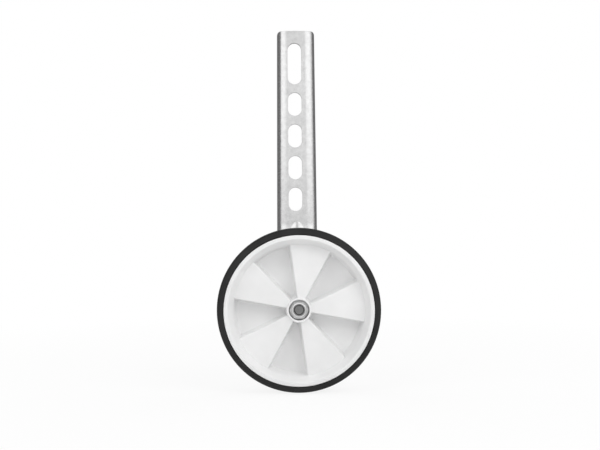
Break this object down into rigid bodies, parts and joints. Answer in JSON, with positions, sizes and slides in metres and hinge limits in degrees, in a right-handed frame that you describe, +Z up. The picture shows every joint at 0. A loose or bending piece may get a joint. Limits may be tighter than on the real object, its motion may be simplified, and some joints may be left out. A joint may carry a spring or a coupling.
{
  "type": "bicycle training wheel unit",
  "caption": "Bicycle training wheel: slotted zinc-plated channel arm with a bend at its foot, carrying a white pinwheel wheel with a black tyre on a bolted axle.",
  "frame": {"origin": "on the bicycle-side face of the arm web, on the arm's centre line, in the middle of the four short slots", "axes": "+Z up along the arm, +Y towards the bicycle, so the wheel is on the -Y side and turns about Y"},
  "size_m": [0.125, 0.065, 0.2863],
  "materials": {
    "zinc_arm": "satin zinc plate",
    "zinc_fastener": "bright zinc plate",
    "white_plastic": "satin moulded polypropylene",
    "tyre_rubber": "matt black",
    "nylon": "plain"
  },
  "bodies": {
    "arm": {"arm_bracket": "zinc_arm", "axle_bolt": "zinc_fastener", "lock_washer": "zinc_fastener", "clamp_nut": "zinc_fastener", "inner_washer": "zinc_fastener", "axle_sleeve": "zinc_fastener", "outer_washer": "zinc_fastener", "lock_nut": "zinc_fastener", "nylon_insert": "nylon"},
    "wheel": {"wheel_hub": "white_plastic", "tyre": "tyre_rubber"}
  },
  "joints": [
    {"name": "wheel_spin", "type": "hinge", "parent": "arm", "child": "wheel", "pos_m": [0, -0.043, -0.125], "axis": [0, 1, 0], "continuous": true}
  ]
}
